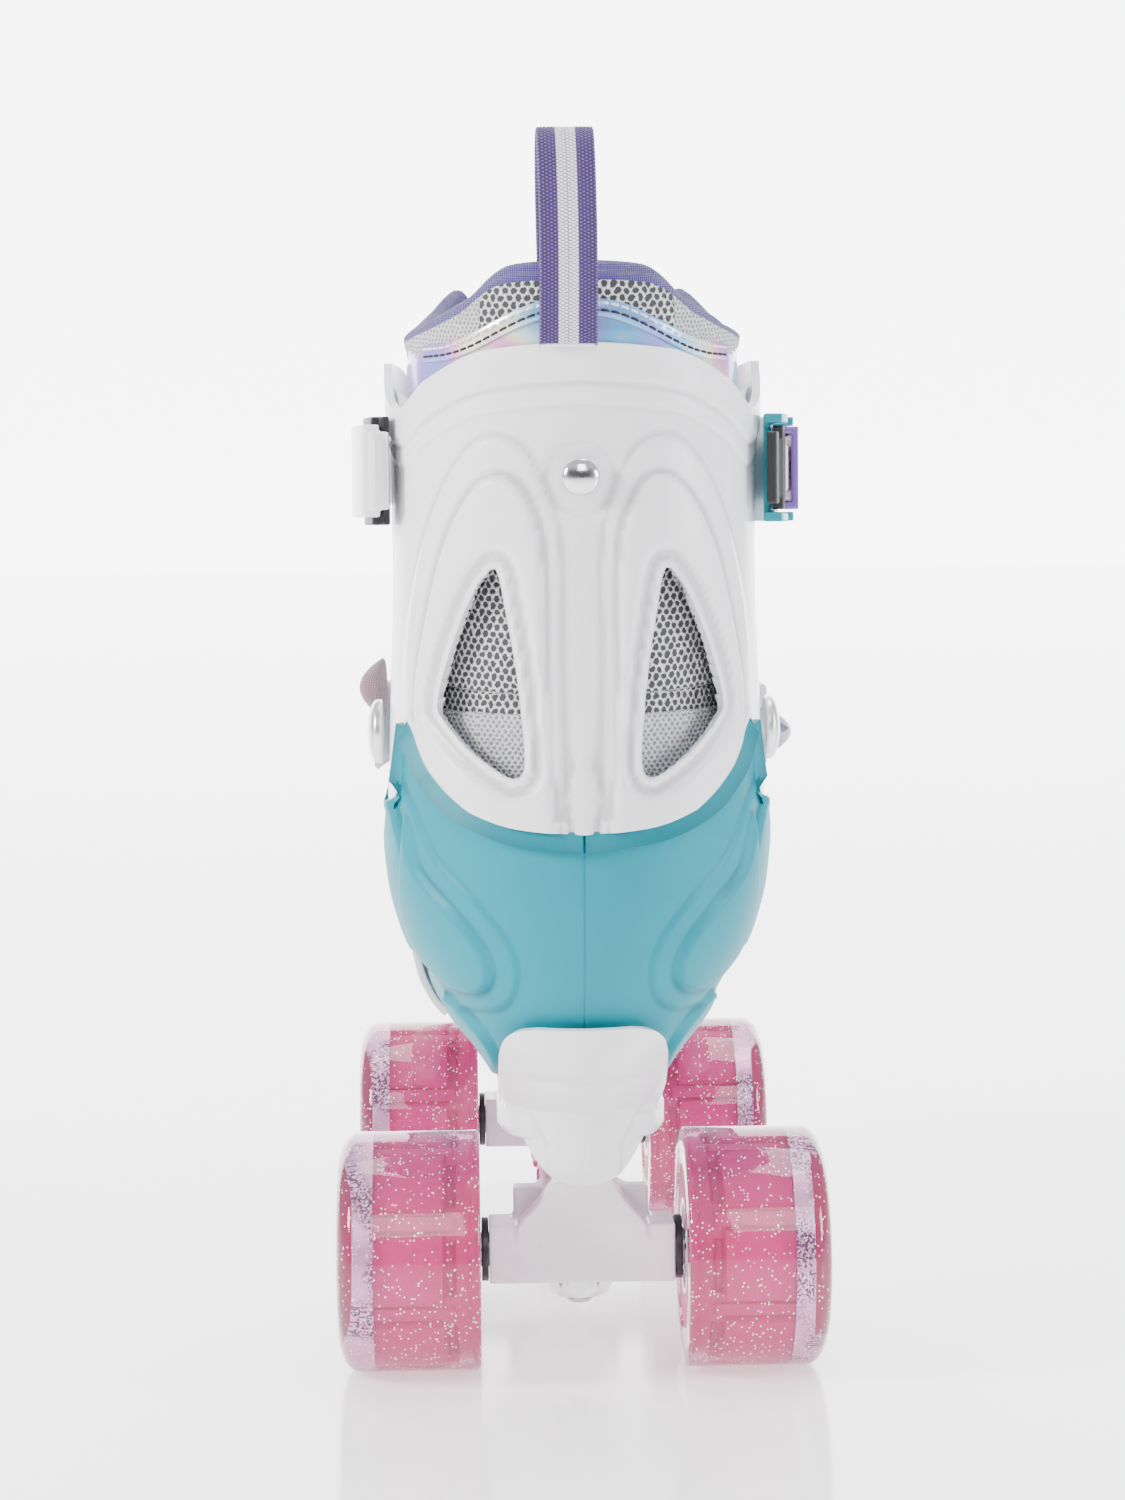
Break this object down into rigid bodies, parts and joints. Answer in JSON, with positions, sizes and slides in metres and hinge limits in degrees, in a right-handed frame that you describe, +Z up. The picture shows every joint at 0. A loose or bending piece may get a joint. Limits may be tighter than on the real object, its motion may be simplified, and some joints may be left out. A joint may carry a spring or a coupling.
{
  "type": "quad roller skate",
  "caption": "Child's adjustable quad roller skate with a moulded shell, a pivoting ankle cuff with a ratchet buckle, a padded liner, a sliding toe, steering trucks and a toe stop.",
  "frame": {"origin": "middle of the skate's box, on the floor the wheels stand on", "axes": "+Z up, +Y towards the toe, +X towards the buckle side, along the axles"},
  "size_m": [0.11, 0.2574, 0.276],
  "materials": {
    "white_plastic": "gloss",
    "teal_plastic": "satin",
    "purple_plastic": "satin",
    "black_plastic": "matte",
    "spacer_mesh": "woven",
    "lining": "brushed knit",
    "lace": "braided",
    "purple_webbing": "woven with a white stripe",
    "silver_webbing": "satin silver",
    "glitter_urethane": "gloss, translucent with glitter",
    "pink_plastic": "gloss",
    "soft_urethane": "satin",
    "chrome": "polished",
    "steel": "brushed"
  },
  "bodies": {
    "boot": {"plate": "white_plastic", "heel_shell": "teal_plastic", "insole": "lining", "liner_foot": "spacer_mesh", "tongue_lower": "spacer_mesh", "laces": "lace", "power_strap": "silver_webbing", "toe_stop": "soft_urethane", "toe_stop_bolt": "steel", "ankle_rivet_left": "chrome", "ankle_rivet_right": "chrome", "kingpin_rear": "steel", "kingpin_nut_rear": "chrome", "cushion_upper_rear": "soft_urethane", "cushion_lower_rear": "soft_urethane", "kingpin_front": "steel", "kingpin_nut_front": "chrome", "cushion_upper_front": "soft_urethane", "cushion_lower_front": "soft_urethane"},
    "cuff": {"cuff": "white_plastic", "liner_collar": "spacer_mesh", "tongue_upper": "lining", "pull_loop": "purple_webbing", "rear_rivet": "chrome", "ladder_strap": "white_plastic", "strap_anchor": "black_plastic", "buckle_base": "teal_plastic", "buckle_pin": "steel"},
    "buckle_lever": {"buckle_lever": "purple_plastic"},
    "buckle_release": {"buckle_release": "black_plastic"},
    "toe": {"toe_cap": "white_plastic", "liner_toe": "spacer_mesh"},
    "size_button": {"size_button": "purple_plastic"},
    "rear_truck": {"hanger_rear": "white_plastic", "axle_rear": "steel", "axle_nut_rear_left": "chrome", "axle_nut_rear_right": "chrome"},
    "wheel_rear_left": {"tyre_rear_left": "glitter_urethane", "hub_rear_left": "pink_plastic", "bearing_inner_rear_left": "steel", "bearing_outer_rear_left": "steel"},
    "wheel_rear_right": {"tyre_rear_right": "glitter_urethane", "hub_rear_right": "pink_plastic", "bearing_inner_rear_right": "steel", "bearing_outer_rear_right": "steel"},
    "front_truck": {"hanger_front": "white_plastic", "axle_front": "steel", "axle_nut_front_left": "chrome", "axle_nut_front_right": "chrome"},
    "wheel_front_left": {"tyre_front_left": "glitter_urethane", "hub_front_left": "pink_plastic", "bearing_inner_front_left": "steel", "bearing_outer_front_left": "steel"},
    "wheel_front_right": {"tyre_front_right": "glitter_urethane", "hub_front_right": "pink_plastic", "bearing_inner_front_right": "steel", "bearing_outer_front_right": "steel"}
  },
  "joints": [
    {"name": "cuff_pivot", "type": "hinge", "parent": "boot", "child": "cuff", "pos_m": [0, -0.06756, 0.144], "axis": [-1, 0, 0], "range_deg": [0, 12]},
    {"name": "buckle_lever_hinge", "type": "hinge", "parent": "cuff", "child": "buckle_lever", "pos_m": [0.04743, -0.05456, 0.2035], "axis": [0, 0, 1], "range_deg": [0, 110]},
    {"name": "buckle_release_hinge", "type": "hinge", "parent": "cuff", "child": "buckle_release", "pos_m": [0.04861, -0.08856, 0.2035], "axis": [0, 0, -1], "range_deg": [0, 15], "stiffness_Nm_per_rad": 0.1},
    {"name": "toe_size_slide", "type": "slide", "parent": "boot", "child": "toe", "axis": [0, 1, 0], "range_m": [0, 0.02]},
    {"name": "size_button_press", "type": "slide", "parent": "boot", "child": "size_button", "axis": [-1, 0, 0], "range_m": [0, 0.0025], "stiffness_N_per_m": 200},
    {"name": "rear_steer", "type": "hinge", "parent": "boot", "child": "rear_truck", "pos_m": [0, -0.10156, 0.05], "axis": [0, 0.8774, -0.4798], "range_deg": [-6, 6], "stiffness_Nm_per_rad": 60, "deforming": ["cushion_upper_rear", "cushion_lower_rear"]},
    {"name": "wheel_rear_left_spin", "type": "hinge", "parent": "rear_truck", "child": "wheel_rear_left", "pos_m": [-0.04, -0.08756, 0.027], "axis": [1, 0, 0], "continuous": true},
    {"name": "wheel_rear_right_spin", "type": "hinge", "parent": "rear_truck", "child": "wheel_rear_right", "pos_m": [0.04, -0.08756, 0.027], "axis": [1, 0, 0], "continuous": true},
    {"name": "front_steer", "type": "hinge", "parent": "boot", "child": "front_truck", "pos_m": [0, 0.07644, 0.05], "axis": [0, -0.8774, -0.4798], "range_deg": [-6, 6], "stiffness_Nm_per_rad": 60, "deforming": ["cushion_upper_front", "cushion_lower_front"]},
    {"name": "wheel_front_left_spin", "type": "hinge", "parent": "front_truck", "child": "wheel_front_left", "pos_m": [-0.04, 0.06244, 0.027], "axis": [1, 0, 0], "continuous": true},
    {"name": "wheel_front_right_spin", "type": "hinge", "parent": "front_truck", "child": "wheel_front_right", "pos_m": [0.04, 0.06244, 0.027], "axis": [1, 0, 0], "continuous": true}
  ]
}
